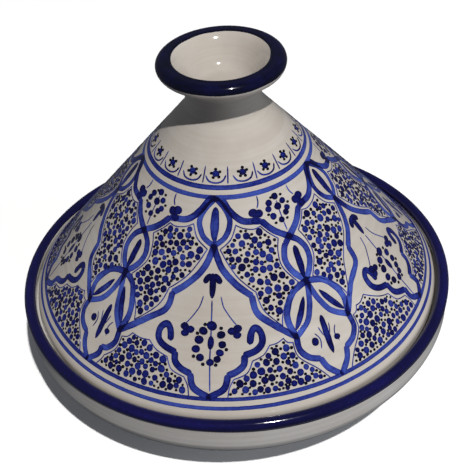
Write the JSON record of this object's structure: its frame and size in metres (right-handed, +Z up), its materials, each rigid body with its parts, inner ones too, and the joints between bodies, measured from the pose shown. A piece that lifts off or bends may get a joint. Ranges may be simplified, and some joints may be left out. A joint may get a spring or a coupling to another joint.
{
  "type": "tagine pot",
  "caption": "Round glazed pottery tagine: a dish with a rounded rim and a tall conical lid topped by an open cup knob.",
  "frame": {"origin": "centre of the foot ring's flat face, on the surface that the pot stands on", "axes": "+Z up along the pot's axis of revolution; +X and +Y level, the painted arch that faces the viewer is centred on -Y"},
  "size_m": [0.3, 0.3, 0.2327],
  "materials": {
    "white_glaze": "glossy warm white glaze over thrown clay",
    "navy_glaze": "glossy deep navy glaze",
    "cobalt_brush": "glossy cobalt brushwork under clear glaze",
    "black_brush": "glossy black dots under clear glaze"
  },
  "bodies": {
    "base": {"base_dish": "white_glaze"},
    "lid": {"lid_cone": "white_glaze", "lid_knob": "navy_glaze"}
  },
  "joints": [
    {"name": "lid_lift", "type": "slide", "parent": "base", "child": "lid", "axis": [0, 0, 1], "range_m": [0, 0.2]}
  ]
}
